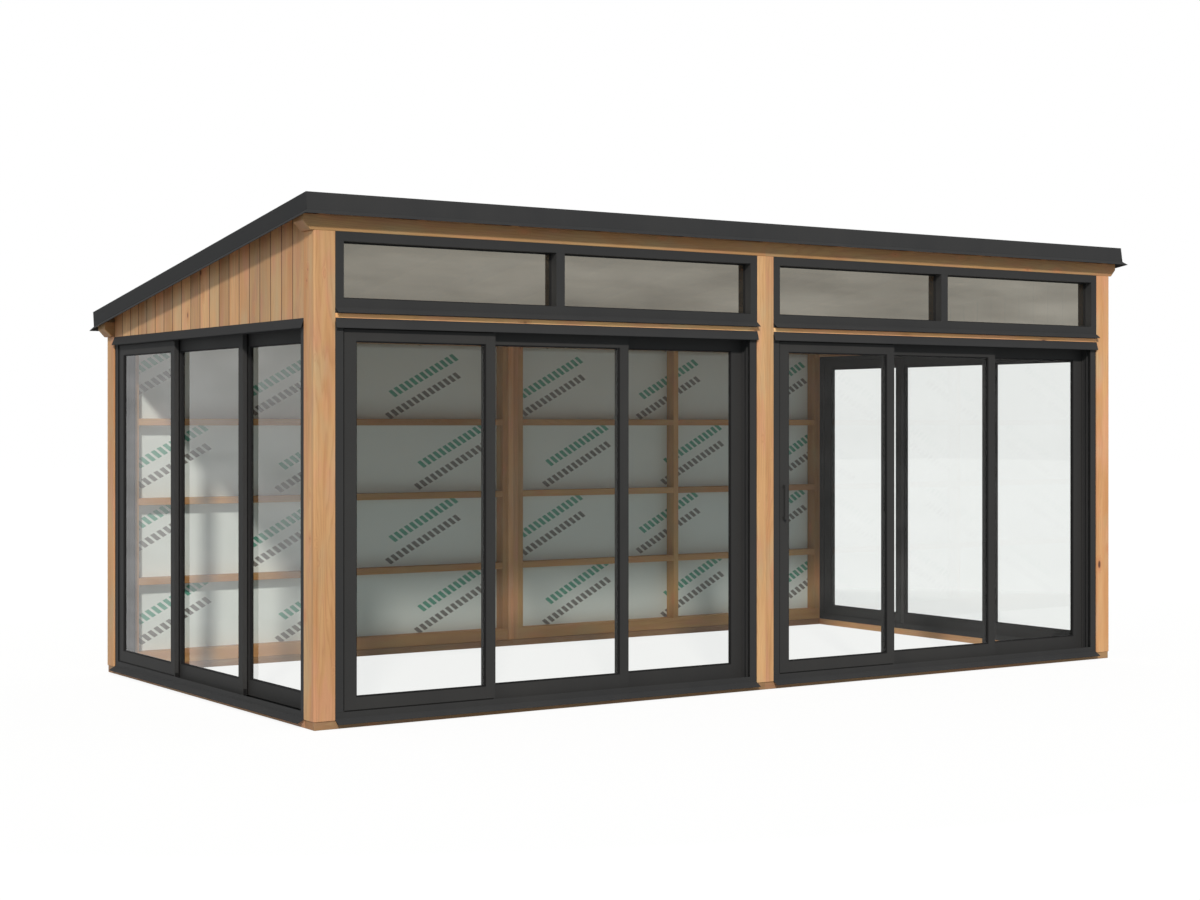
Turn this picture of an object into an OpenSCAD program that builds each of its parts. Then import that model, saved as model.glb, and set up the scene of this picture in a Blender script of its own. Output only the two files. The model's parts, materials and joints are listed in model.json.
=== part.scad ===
// Garden pavilion: timber post frame with a lean-to roof, glazed with three-track sliding doors
// on the front and both ends, top lights over the front doors and a boarded back wall.
// Millimetres. +X runs along the front, +Y from the front to the back, +Z up.
// The origin is on the ground, under the middle of the roof's outline.

/* [Building] */
// Length over the corner posts
length = 6000; // [4800:50:7200]
// Depth over the corner posts
depth = 3060; // [2600:20:3600]
// Height of the opening for the top lights, from the headers to the front plate
toplight_h = 430; // [370:5:600]
// Height of the rear plate's underside above the door frames
rear_rise = 22; // [10:1:120]
// Side of the square corner posts
post = 125; // [100:5:150]
// Width of the rear middle post
rear_mid_post_w = 82; // [70:2:125]
// Chamfer on the outer edges of the corner posts
post_chamfer = 7; // [2:1:12]

/* [Ground sills] */
// Height of the ground sills
sill_h = 45; // [40:1:70]
// How far the sills stand back from the faces of the posts
sill_inset = 6; // [2:1:15]

/* [Plates and headers] */
// Height of the front top plate at its outer face
front_plate_h = 85; // [75:5:120]
// Height of the rear top plate at its outer face
rear_plate_h = 75; // [65:5:110]
// How far the top plates run past the corner posts
plate_run = 60; // [48:1:62]
// Horizontal size of the bevel under each plate end
plate_bevel_l = 42; // [20:1:46]
// Vertical size of the bevel under each plate end
plate_bevel_h = 45; // [20:1:60]
// Thickness of the headers over the doors
header_h = 45; // [35:1:60]

/* [Roof] */
// Rafter height, square to the slope
rafter_h = 75; // [60:5:120]
// Rafter width
rafter_w = 45; // [35:1:60]
// Number of rafters, with the two at the gables
rafters_n = 11; // [9:1:14]
// Thickness of the roof deck
deck_t = 18; // [15:1:25]
// Thickness of the roof covering
cover_t = 5; // [3:1:8]
// Overhang of the trim past the plates, measured along the slope
eave_run = 60; // [50:1:90]
// Overhang of the trim past the gable posts
verge_run = 67; // [64:1:90]
// Thickness of the boards behind the trim
fascia_t = 20; // [16:1:24]
// Sheet thickness of all folded trim and flashings
sheet_t = 2; // [1.5:0.5:3]
// Drop of the trim face below the top of the covering
trim_face_h = 95; // [80:1:110]
// Width and height of the flared drip under the trim
trim_drip = 23; // [12:1:30]
// Width of the flange that laps onto the covering
trim_lap = 55; // [40:5:90]

/* [Gables and back wall] */
// Thickness of the cladding boards
board_t = 22; // [18:1:28]
// Width that one board covers
board_pitch = 141; // [100:1:180]
// Depth of the V groove between two boards
board_groove = 4; // [2:1:8]
// How far the boards stand back from the faces of the posts
board_inset = 4; // [2:1:10]
// Width of the back wall studs and the height of its noggins
stud_w = 45; // [40:1:50]
// How far the studs stand back from the inner faces of the rear posts
stud_inset = 5; // [2:1:20]
// Height of the back wall's bottom rails
bottom_rail_h = 82; // [60:1:100]
// Number of noggin rows
noggin_rows = 3; // [2:1:3]
// Distance from the ground to the middle of the lowest noggin
noggin_first = 583; // [450:1:650]
// Distance between noggin rows
noggin_pitch = 518; // [450:1:540]
// Thickness of the wind membrane
membrane_t = 2; // [1:0.5:3]

/* [Top lights] */
// Recess of the top light frames behind the post faces
toplight_recess = 2; // [1:1:10]
// Depth of the top light frames from front to back
toplight_d = 76; // [60:1:100]
// Width of the top light frame bars
toplight_bar = 50; // [35:1:60]
// Width of the mullion in the middle of a top light
mullion_w = 56; // [40:1:80]
// Height of the bottom bar of a top light
toplight_sill_h = 78; // [50:1:90]
// Distance from the face of the frame to the pane
toplight_reveal = 60; // [40:1:65]

/* [Door frames] */
// Height of the door frames
frame_h = 2100; // [2060:10:2105]
// Recess of the door frames behind the post faces
frame_recess = 8; // [4:1:9]
// Width of the solid part of the side and head profiles
jamb_w = 40; // [30:1:50]
// Depth of the pockets that the sashes close into
pocket = 10; // [8:1:14]
// Depth of the lips that hang from the head profile
head_lip = 33; // [30:1:36]
// Height of the lips of the sill profile
sill_lip = 40; // [36:1:44]
// Thickness of the flat webs of head and sill profiles
web_t = 6; // [4:1:8]
// Width of the rails that the rollers run on
track_w = 6; // [4:1:8]
// Height of the rails above the web of the sill
track_h = 12; // [8:1:13]
// Sideways clearance between sashes, fins and lips
side_gap = 5; // [5:0.5:8]

/* [Sashes] */
// Thickness of the sashes
sash_t = 26; // [22:1:26]
// Width of the stiles that close into the side profiles
lock_stile_w = 84; // [60:1:100]
// Width of the stiles that meet behind one another
meet_stile_w = 60; // [48:1:80]
// Height of the rails
rail_h = 88; // [60:1:110]
// Width of the middle sash
mid_sash_w = 975; // [900:5:1040]
// How much the outer sash is wider, and the inner one narrower, than their mean
sash_shift = 13; // [0:1:30]
// Overlap of neighbouring sashes when closed
overlap = 55; // [40:1:80]
// Clearance between a sash and what it closes against
end_gap = 5; // [5:0.5:8]
// Clearance between the rollers and their rails
roller_gap = 0.3; // [0.2:0.1:0.6]
// Diameter of the rollers
roller_d = 22; // [16:1:28]
// How far the rollers show below the sash
roller_show = 5.5; // [4:0.5:8]
// Distance from the sides of a sash to the middle of its rollers
roller_inset = 30; // [20:1:34]
// Thickness of the door and top light glass
glass_t = 6; // [4:1:8]
// Depth of the groove that holds the glass in the stiles
glass_bite = 12; // [8:1:16]
// Length of the pull handle
handle_l = 210; // [120:5:260]
// Height of the middle of the handle above the floor of the unit
handle_z = 1085; // [900:5:1200]
// Distance from the side of the sash to the middle of the handle
handle_inset = 42; // [30:1:50]
// Thickness of the handle's bar
handle_bar = 12; // [8:1:16]
// Reach of the handle in front of the sash
handle_reach = 26; // [22:1:40]
// Height of the two feet of the handle
handle_foot = 16; // [10:1:24]

/* [Flashings] */
// Height of the face of the head flashings
head_flash_h = 53; // [45:1:60]
// How far the head flashings reach up above the door frames
head_flash_rise = 20; // [16:1:30]
// How far the face of the head flashings slopes out
head_flash_run = 15; // [10:1:30]
// Height of the face of the door sill flashings
sill_flash_h = 27; // [18:1:34]
// How far the door sill flashings reach up the sill profile
sill_flash_rise = 7; // [6:0.5:12]
// How far the door sill flashings slope out
sill_flash_run = 40; // [24:1:48]
// Height of the face of the top light sills
toplight_flash_h = 29; // [18:1:36]
// How far the top light sills reach up the bottom bar
toplight_flash_rise = 30; // [20:1:45]
// How far the top light sills slope out
toplight_flash_run = 34; // [20:1:42]
// Height of the upright hem along every flashing
flash_hem = 4; // [3:0.5:8]

/* [Hidden] */
fit = 0.3;                 // hairline joint between pieces that are separate solids
eps = 1;                   // overlap used by cutting solids
glass_play = 0.3;          // clearance between glass and the floor of its groove
round_fn = 48;             // facets of a roller

// Heights
door_z = sill_h;
door_top = door_z + frame_h;
header_top = door_top + header_h;
front_h = header_top + toplight_h;
rear_h = door_top + rear_rise;
front_top = front_h + front_plate_h;
rear_top = rear_h + rear_plate_h;

// Roof: local axes with v along the slope from the front plate's face and w square to it
slope = atan2(front_top - rear_top, depth);
slope_len = depth / cos(slope);
deck_w = rafter_h;
cover_w = deck_w + deck_t;
top_w = cover_w + cover_t;
drip_w = top_w - trim_face_h;
above_roof = front_top + top_w;
roof_v0 = -eave_run;
roof_v1 = slope_len + eave_run;

// Outline of the whole building, which places the origin
function roof_y(v, w) = v * cos(slope) + w * sin(slope);
outline_y0 = roof_y(roof_v0 - trim_drip, drip_w - trim_drip);
outline_y1 = max(roof_y(roof_v1 + trim_drip, drip_w - trim_drip + sheet_t * sqrt(2)),
                 roof_y(roof_v1, top_w + sheet_t));
centre_y = (outline_y0 + outline_y1) / 2;

// Openings between the posts
front_bay = (length - 3 * post) / 2;
side_bay = depth - 2 * post;
mid_x = post + front_bay;

// Door units: positions are measured in from the outer face of the posts
lip_y = frame_recess;
first_y = lip_y + sheet_t + side_gap;
track_pitch = sash_t + 2 * side_gap + sheet_t;
frame_d = 2 * sheet_t + 2 * side_gap + 2 * track_pitch + sash_t;
sash_z0 = web_t + track_h + roller_gap + roller_show;
sash_z1 = frame_h - web_t - end_gap;
sash_h = sash_z1 - sash_z0;

function sash_y(track) = first_y + track * track_pitch;
function span(bay) = bay - 2 * (jamb_w + end_gap);
function mean_w(bay) = (span(bay) - mid_sash_w) / 2 + overlap;
function sash_w(bay, track) = track == 1 ? mid_sash_w
    : mean_w(bay) + (track == 0 ? sash_shift : -sash_shift);
function sash_x(bay, track) = jamb_w + end_gap
    + (track == 0 ? 0 : track == 1 ? sash_w(bay, 0) - overlap : span(bay) - sash_w(bay, 2));
function left_stile(track) = track == 0 ? lock_stile_w : meet_stile_w;
function right_stile(track) = track == 2 ? lock_stile_w : meet_stile_w;

// Back wall
stud_y0 = depth - post + stud_inset;
boards_y1 = depth - board_inset;
boards_y0 = boards_y1 - board_t;
membrane_y1 = boards_y0 - fit;
membrane_y0 = membrane_y1 - membrane_t;
stud_y1 = membrane_y0 - fit;
rear_bay = (length - 2 * post - rear_mid_post_w) / 2;
rear_mid_x = post + rear_bay;
rail_top = sill_h + bottom_rail_h;

TIMBER = [0.80, 0.60, 0.40];
BOARD = [0.76, 0.57, 0.38];
METAL = [0.24, 0.245, 0.25];
FELT = [0.17, 0.17, 0.18];
SHEET = [0.78, 0.79, 0.77];
PANE = [0.70, 0.76, 0.76, 0.35];

UNITS = ["front_left", "front_right", "left", "right"];
TRACKS = ["outer", "middle", "inner"];
HANDLE_UNIT = "front_right";

// ---------------------------------------------------------------- helpers

// A block from one corner to the opposite one
module block(a, b) {
    translate(a) cube(b - a);
}

// Puts the building's own axes, with x = 0 and y = 0 at the outer faces of the posts,
// into the part's axes
module placed() {
    translate([-length / 2, -centre_y, 0]) children();
}

// The roof's local axes: x along the eaves, v down the slope, w square to it
module on_slope() {
    translate([0, 0, front_top]) rotate([-slope, 0, 0]) children();
}

// A folded sheet or bar: a profile in the y-z plane, extruded along x from x0 to x1
module along_x(x0, x1) {
    translate([x0, 0, 0]) rotate([90, 0, 90]) linear_extrude(x1 - x0) children();
}

// Places a door unit's axes: x to the right seen from outside, y inwards
module at_unit(unit) {
    if (unit == "front_left") translate([post, 0, door_z]) children();
    if (unit == "front_right") translate([mid_x + post, 0, door_z]) children();
    if (unit == "left") translate([0, depth - post, door_z]) rotate([0, 0, -90]) children();
    if (unit == "right") translate([length, post, door_z]) rotate([0, 0, 90]) children();
}

function bay_of(unit) = unit == "front_left" || unit == "front_right" ? front_bay : side_bay;

// ---------------------------------------------------------------- timber frame

module sills_long() {
    color(TIMBER) placed() {
        block([sill_inset, sill_inset, 0], [length - sill_inset, post, sill_h]);
        block([sill_inset, depth - post, 0], [length - sill_inset, depth - sill_inset, sill_h]);
    }
}

module sills_end() {
    color(TIMBER) placed() {
        block([sill_inset, post + fit, 0], [post, depth - post - fit, sill_h]);
        block([length - post, post + fit, 0], [length - sill_inset, depth - post - fit, sill_h]);
    }
}

// A post with its outer upright edge chamfered; corner is the side the chamfer is on
module corner_post(x, y, h, left, front) {
    cx = left ? 0 : post;
    cy = front ? 0 : post;
    sx = left ? 1 : -1;
    sy = front ? 1 : -1;
    translate([x, y, sill_h]) linear_extrude(h - sill_h) polygon([
        [cx + sx * post_chamfer, cy],
        [cx + sx * post, cy],
        [cx + sx * post, cy + sy * post],
        [cx, cy + sy * post],
        [cx, cy + sy * post_chamfer]
    ]);
}

module front_posts() {
    color(TIMBER) placed() {
        corner_post(0, 0, front_h, true, true);
        corner_post(length - post, 0, front_h, false, true);
        block([mid_x, 0, sill_h], [mid_x + post, post, front_h]);
    }
}

module rear_posts() {
    color(TIMBER) placed() {
        corner_post(0, depth - post, rear_h, true, false);
        corner_post(length - post, depth - post, rear_h, false, false);
        block([rear_mid_x, depth - post, sill_h], [rear_mid_x + rear_mid_post_w, depth, rear_h]);
    }
}

// The section of a top plate: flat underneath, planed to the slope on top
module plate_section(y0, y1, z0) {
    polygon([[y0, z0], [y1, z0],
             [y1, front_top - y1 * tan(slope)], [y0, front_top - y0 * tan(slope)]]);
}

// A top plate whose two ends run past the posts and are bevelled underneath
module top_plate(y0, y1, z0) {
    difference() {
        along_x(-plate_run, length + plate_run) plate_section(y0, y1, z0);
        for (side = [0, 1])
            translate([side * length, y0 - eps, z0]) mirror([side, 0, 0])
                rotate([90, 0, 0]) mirror([0, 0, 1]) linear_extrude(y1 - y0 + 2 * eps)
                    polygon([[-plate_run - eps, -eps],
                             [plate_bevel_l - plate_run, -eps],
                             [plate_bevel_l - plate_run, 0],
                             [-plate_run, plate_bevel_h],
                             [-plate_run - eps, plate_bevel_h]]);
    }
}

module front_plate() {
    color(TIMBER) placed() top_plate(0, post, front_h);
}

module rear_plate() {
    color(TIMBER) placed() top_plate(depth - post, depth, rear_h);
}

module front_headers() {
    color(TIMBER) placed()
        for (x = [post, mid_x + post])
            block([x + fit, 0, door_top], [x + front_bay - fit, post, header_top]);
}

// The headers over the end doors lie behind the gable boards
module end_headers() {
    x0 = board_inset + board_t + fit;
    color(TIMBER) placed() {
        block([x0, post + fit, door_top], [post, depth - post - fit, header_top]);
        block([length - post, post + fit, door_top], [length - x0, depth - post - fit, header_top]);
    }
}

// ---------------------------------------------------------------- roof

module rafters() {
    first_x = board_inset + board_t + fit;
    pitch = (length - 2 * first_x - rafter_w) / (rafters_n - 1);
    v0 = roof_v0 + sheet_t + fascia_t + fit;
    v1 = roof_v1 - sheet_t - fascia_t - fit;
    color(TIMBER) placed() on_slope()
        for (i = [0 : rafters_n - 1])
            block([first_x + i * pitch, v0, 0], [first_x + i * pitch + rafter_w, v1, rafter_h]);
}

module roof_deck() {
    color(BOARD) placed() on_slope()
        block([sheet_t - verge_run, roof_v0 + sheet_t, deck_w],
              [length + verge_run - sheet_t, roof_v1 - sheet_t, cover_w]);
}

module roof_covering() {
    color(FELT) placed() on_slope()
        block([sheet_t - verge_run, roof_v0 + sheet_t, cover_w],
              [length + verge_run - sheet_t, roof_v1 - sheet_t, top_w]);
}

// Boards that close the eaves behind the trim
module eave_boards() {
    x0 = sheet_t - verge_run;
    x1 = length + verge_run - sheet_t;
    color(TIMBER) placed() on_slope() {
        block([x0, roof_v0 + sheet_t, drip_w], [x1, roof_v0 + sheet_t + fascia_t, deck_w]);
        block([x0, roof_v1 - sheet_t - fascia_t, drip_w], [x1, roof_v1 - sheet_t, deck_w]);
    }
}

module verge_boards() {
    v0 = roof_v0 + sheet_t + fascia_t + fit;
    v1 = roof_v1 - sheet_t - fascia_t - fit;
    color(TIMBER) placed() on_slope()
        for (x = [sheet_t - verge_run, length + verge_run - sheet_t - fascia_t])
            block([x, v0, drip_w], [x + fascia_t, v1, deck_w]);
}

// Section of the roof trim: a lap on the covering, a face, and a drip flared outwards.
// Its outer face is at 0 and the roof lies on the positive side.
module trim_section() {
    s = sheet_t;
    k = sheet_t * (sqrt(2) - 1);
    polygon([
        [trim_lap, top_w], [trim_lap, top_w + s], [0, top_w + s],
        [0, drip_w + k], [-trim_drip, drip_w + k - trim_drip],
        [-trim_drip + s / sqrt(2), drip_w + k - trim_drip - s / sqrt(2)],
        [s, drip_w], [s, top_w]
    ]);
}

// A run of trim along x, mitred at its two ends. Its face is on y = 0 from a to b, and the
// roof lies on the positive side.
module mitred_run(a, b) {
    drip_end = trim_drip + eps;
    lap_end = trim_lap + eps;
    intersection() {
        along_x(a - drip_end, b + drip_end) trim_section();
        translate([0, 0, drip_w - drip_end]) linear_extrude(trim_face_h + drip_end + sheet_t + eps)
            polygon([[a - drip_end, -drip_end], [b + drip_end, -drip_end],
                     [b - lap_end, lap_end], [a + lap_end, lap_end]]);
    }
}

module eave_trims() {
    color(METAL) placed() on_slope() {
        translate([0, roof_v0, 0])
            mitred_run(-verge_run, length + verge_run);
        translate([0, roof_v1, 0]) mirror([0, 1, 0])
            mitred_run(-verge_run, length + verge_run);
    }
}

// The verge trims meet the eave trims in hairline mitres
module verge_trims() {
    color(METAL) placed() on_slope() {
        translate([-verge_run, 0, 0]) mirror([1, -1, 0])
            mitred_run(roof_v0 + fit, roof_v1 - fit);
        translate([length + verge_run, 0, 0]) rotate([0, 0, 90])
            mitred_run(roof_v0 + fit, roof_v1 - fit);
    }
}

// ---------------------------------------------------------------- boarded walls

// Plan of a run of vertical boards, from 0 to run, outer face at 0, with V grooves
function groove_points(run) = [
    for (i = [1 : ceil(run / board_pitch) - 1])
        let (c = i * run / ceil(run / board_pitch))
        each [[c - board_groove, 0], [c, board_groove], [c + board_groove, 0]]
];

module board_plan(run) {
    polygon(concat([[0, 0]], groove_points(run), [[run, 0], [run, board_t], [0, board_t]]));
}

// The boards of the left gable, from the flashing up to the roof deck
module gable_boards() {
    run = side_bay - 2 * fit;
    z0 = door_top + head_flash_rise;
    difference() {
        translate([board_inset, depth - post - fit, z0]) rotate([0, 0, -90])
            linear_extrude(above_roof - z0) board_plan(run);
        on_slope() block([-eps, -eps, deck_w - fit],
                         [post, slope_len + eps, above_roof]);
    }
}

module left_gable() {
    color(BOARD) placed() gable_boards();
}

module right_gable() {
    color(BOARD) placed() translate([length, 0, 0]) mirror([1, 0, 0]) gable_boards();
}

// Where each bay of the back wall starts and ends
function rear_bays() = [[post, rear_mid_x], [rear_mid_x + rear_mid_post_w, length - post]];
function noggin_z(i) = noggin_first + i * noggin_pitch;

module back_studs() {
    color(TIMBER) placed()
        for (bay = rear_bays())
            for (x = [bay[0] + fit, (bay[0] + bay[1] - stud_w) / 2, bay[1] - stud_w - fit])
                block([x, stud_y0, rail_top], [x + stud_w, stud_y1, rear_h]);
}

module back_rails() {
    color(TIMBER) placed()
        for (bay = rear_bays())
            block([bay[0] + fit, stud_y0, sill_h], [bay[1] - fit, stud_y1, rail_top]);
}

module back_noggins() {
    color(TIMBER) placed()
        for (bay = rear_bays(), i = [0 : noggin_rows - 1], half = [0, 1]) {
            mid = (bay[0] + bay[1]) / 2;
            x0 = half == 0 ? bay[0] + stud_w + 2 * fit : mid + stud_w / 2 + fit;
            x1 = half == 0 ? mid - stud_w / 2 - fit : bay[1] - stud_w - 2 * fit;
            block([x0, stud_y0, noggin_z(i) - stud_w / 2], [x1, stud_y1, noggin_z(i) + stud_w / 2]);
        }
}

module back_membrane() {
    color(SHEET) placed()
        for (bay = rear_bays())
            block([bay[0] + fit, membrane_y0, sill_h], [bay[1] - fit, membrane_y1, rear_h]);
}

module back_boards() {
    color(BOARD) placed()
        for (bay = rear_bays())
            translate([bay[1] - fit, boards_y1, sill_h]) rotate([0, 0, 180])
                linear_extrude(rear_h - sill_h) board_plan(bay[1] - bay[0] - 2 * fit);
}

// ---------------------------------------------------------------- top lights

// Five bars that meet with hairline joints; the pane sits in grooves of the bars
module toplight_frame(x0) {
    y0 = toplight_recess;
    y1 = y0 + toplight_d;
    x1 = x0 + front_bay;
    z0 = header_top;
    z1 = front_h;
    zs = z0 + toplight_sill_h;
    zh = z1 - toplight_bar;
    mid = (x0 + x1) / 2;
    difference() {
        union() {
            block([x0 + fit, y0, z0], [x1 - fit, y1, zs - fit]);
            block([x0 + fit, y0, zh + fit], [x1 - fit, y1, z1]);
            block([x0 + fit, y0, zs], [x0 + toplight_bar, y1, zh]);
            block([x1 - toplight_bar, y0, zs], [x1 - fit, y1, zh]);
            block([mid - mullion_w / 2, y0, zs], [mid + mullion_w / 2, y1, zh]);
        }
        for (side = [0, 1]) toplight_pane(x0, side, glass_play);
    }
}

// One pane of a top light; grow makes the groove that it sits in
module toplight_pane(x0, side, grow) {
    mid = x0 + front_bay / 2;
    bars = [x0 + toplight_bar, x0 + front_bay - toplight_bar];
    px0 = side == 0 ? bars[0] : mid + mullion_w / 2;
    px1 = side == 0 ? mid - mullion_w / 2 : bars[1];
    y0 = toplight_recess + toplight_reveal;
    block([px0 - glass_bite - grow, y0 - grow, header_top + toplight_sill_h - glass_bite - grow],
          [px1 + glass_bite + grow, y0 + glass_t + grow, front_h - toplight_bar + glass_bite + grow]);
}

module left_toplight_frame() {
    color(METAL) placed() toplight_frame(post);
}

module right_toplight_frame() {
    color(METAL) placed() toplight_frame(mid_x + post);
}

module toplight_panes() {
    color(PANE) placed()
        for (x = [post, mid_x + post], side = [0, 1]) toplight_pane(x, side, 0);
}

// Section of a folded flashing: a flange up the wall, a shelf, a sloping face and an upright hem.
// y = 0 is the wall and z = 0 is the top of the shelf.
module flashing_section(shelf, run, face, flange) {
    s = sheet_t;
    fall = face - flash_hem;
    drop = s / cos(atan2(fall, run));
    knee = shelf - run * (drop - s) / fall;
    top = shelf > 0 ? [[0, 0], [-shelf, 0]] : [[0, 0]];
    under = knee > s ? [[-knee, -s], [-s, -s]] : [[-s, fall * (shelf - s) / run - drop]];
    polygon(concat(
        top,
        [[-shelf - run, -fall], [-shelf - run, -face], [s - shelf - run, -face],
         [s - shelf - run, fall * (s - run) / run - drop]],
        under,
        [[-s, -flange], [0, -flange]]
    ));
}

module toplight_sills() {
    color(METAL) placed()
        for (x = [post, mid_x + post])
            along_x(x + fit, x + front_bay - fit)
                translate([toplight_recess, header_top + toplight_flash_rise])
                    flashing_section(0, toplight_flash_run, toplight_flash_h,
                                     toplight_flash_rise - fit);
}

// ---------------------------------------------------------------- sliding doors

// Section of a side profile of a door frame: a body with lips and fins that form three pockets
module jamb_section() {
    square([jamb_w, frame_d]);
    for (y = fin_positions()) translate([0, y]) square([jamb_w + pocket, sheet_t]);
}

// Lips at the front and back and the fins between the tracks, from the face of the frame
function fin_positions() = [
    0,
    sheet_t + side_gap + sash_t + side_gap,
    sheet_t + side_gap + track_pitch + sash_t + side_gap,
    frame_d - sheet_t
];

// Section of the head profile in the y-z plane, z = 0 at its top
module head_section() {
    translate([0, -web_t]) square([frame_d, web_t]);
    for (y = fin_positions()) translate([y, -head_lip]) square([sheet_t, head_lip]);
}

// Section of the sill profile: a web with a lip at each side and a rail under each sash
module sill_section() {
    square([frame_d, web_t]);
    for (y = [0, frame_d - sheet_t]) translate([y, 0]) square([sheet_t, sill_lip]);
    for (track = [0, 1, 2])
        translate([sash_y(track) - frame_recess + (sash_t - track_w) / 2, 0])
            square([track_w, web_t + track_h]);
}

module door_frame(unit) {
    bay = bay_of(unit);
    color(METAL) placed() at_unit(unit) {
        translate([0, frame_recess, 0]) {
            along_x(fit, bay - fit) sill_section();
            along_x(fit, bay - fit) translate([0, frame_h]) head_section();
            for (side = [0, 1])
                translate([side * bay, 0, 0]) mirror([side, 0, 0])
                    difference() {
                        translate([fit, 0, web_t + fit])
                            linear_extrude(frame_h - 2 * (web_t + fit)) jamb_section();
                        // coped over the lips, fins and rails of the sill and the head
                        rotate([90, 0, 90]) translate([0, 0, -eps]) linear_extrude(post)
                            offset(delta = fit) {
                                sill_section();
                                translate([0, frame_h]) head_section();
                            }
                    }
        }
    }
}

// One sash: two stiles and two rails round the glass, with rollers under the bottom rail
module sash(unit, track) {
    w = sash_w(bay_of(unit), track);
    left = left_stile(track);
    right = right_stile(track);
    color(METAL) placed() at_sash(unit, track) {
        difference() {
            union() {
                block([0, 0, 0], [left, sash_t, sash_h]);
                block([w - right, 0, 0], [w, sash_t, sash_h]);
                for (z = [0, sash_h - rail_h])
                    block([left + fit, 0, z], [w - right - fit, sash_t, z + rail_h]);
            }
            glass_block(w, track, glass_play);
        }
        for (x = [roller_inset, w - roller_inset]) sash_roller(x);
        if (unit == HANDLE_UNIT && track == 0) sash_handle();
    }
}

// Places a sash's axes: its lower left corner seen from outside, y inwards from its face
module at_sash(unit, track) {
    at_unit(unit) translate([sash_x(bay_of(unit), track), sash_y(track), sash_z0]) children();
}

// A roller whose upper part is buried in the stile
module sash_roller(x) {
    translate([x, sash_t / 2, roller_d / 2 - roller_show])
        rotate([90, 0, 0]) cylinder(d = roller_d, h = track_w, center = true, $fn = round_fn);
}

// A slim pull handle on the leading stile, on two feet
module sash_handle() {
    z0 = handle_z - sash_z0 - handle_l / 2;
    translate([handle_inset - handle_bar / 2, -handle_reach, z0]) {
        cube([handle_bar, handle_bar, handle_l]);
        for (z = [0, handle_l - handle_foot])
            translate([0, handle_bar, z])
                cube([handle_bar, handle_reach - handle_bar, handle_foot]);
    }
}

// The pane of a sash; grow makes the groove that it sits in
module glass_block(w, track, grow) {
    edge = glass_bite + grow;
    y0 = (sash_t - glass_t) / 2 - grow;
    block([left_stile(track) - edge, y0, rail_h - edge],
          [w - right_stile(track) + edge, y0 + glass_t + 2 * grow, sash_h - rail_h + edge]);
}

module sash_glass(unit, track) {
    color(PANE) placed() at_sash(unit, track) glass_block(sash_w(bay_of(unit), track), track, 0);
}

// Flashings over the heads: their flange lies on the timber above the frame, and at the
// ends a shelf carries them forward under the gable boards
module head_flashings() {
    color(METAL) placed()
        for (unit = UNITS) {
            bay = bay_of(unit);
            end = unit == "left" || unit == "right";
            shelf = end ? board_t + fit : 0;
            wall = end ? board_inset + shelf : 0;
            at_unit(unit) along_x(fit, bay - fit)
                translate([wall, frame_h + head_flash_rise])
                    flashing_section(shelf, head_flash_run + wall - shelf, head_flash_h,
                                     head_flash_rise - fit);
        }
}

// Flashings under the sills: their flange lies on the front lip of the frame
module sill_flashings() {
    color(METAL) placed()
        for (unit = UNITS)
            at_unit(unit) along_x(fit, bay_of(unit) - fit)
                translate([frame_recess, sill_flash_rise])
                    flashing_section(0, sill_flash_run, sill_flash_h, sill_flash_rise - fit);
}

// ---------------------------------------------------------------- pieces

sills_long();
sills_end();
front_posts();
rear_posts();
front_plate();
rear_plate();
front_headers();
end_headers();
rafters();
roof_deck();
roof_covering();
eave_boards();
verge_boards();
eave_trims();
verge_trims();
left_gable();
right_gable();
back_studs();
back_rails();
back_noggins();
back_membrane();
back_boards();
left_toplight_frame();
right_toplight_frame();
toplight_panes();
toplight_sills();
head_flashings();
sill_flashings();
for (unit = UNITS) {
    door_frame(unit);
    for (track = [0, 1, 2]) {
        piece = str(unit, "_", TRACKS[track]);
        sash(unit, track);
        sash_glass(unit, track);
    }
}
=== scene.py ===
# %% [markdown]
# # A glazed summerhouse with a lean-to roof
#
# The building is a frame of planed softwood posts under a single sloping roof. Sliding glass
# doors fill the front and both ends, narrow top lights sit above the front doors, and the back
# is a stud wall: boards outside, a wind membrane behind them, and studs and noggins that stay
# in view from the room. This lesson dresses the measured solids: it gives each one its finish
# and adds the thin soft things that the solids leave out, which are the rubber beads round the
# glass, the brush seals, the stile plugs and the membrane itself.
#
# Lengths are metres. +X runs along the front, +Y from the front to the back and +Z up.

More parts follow.
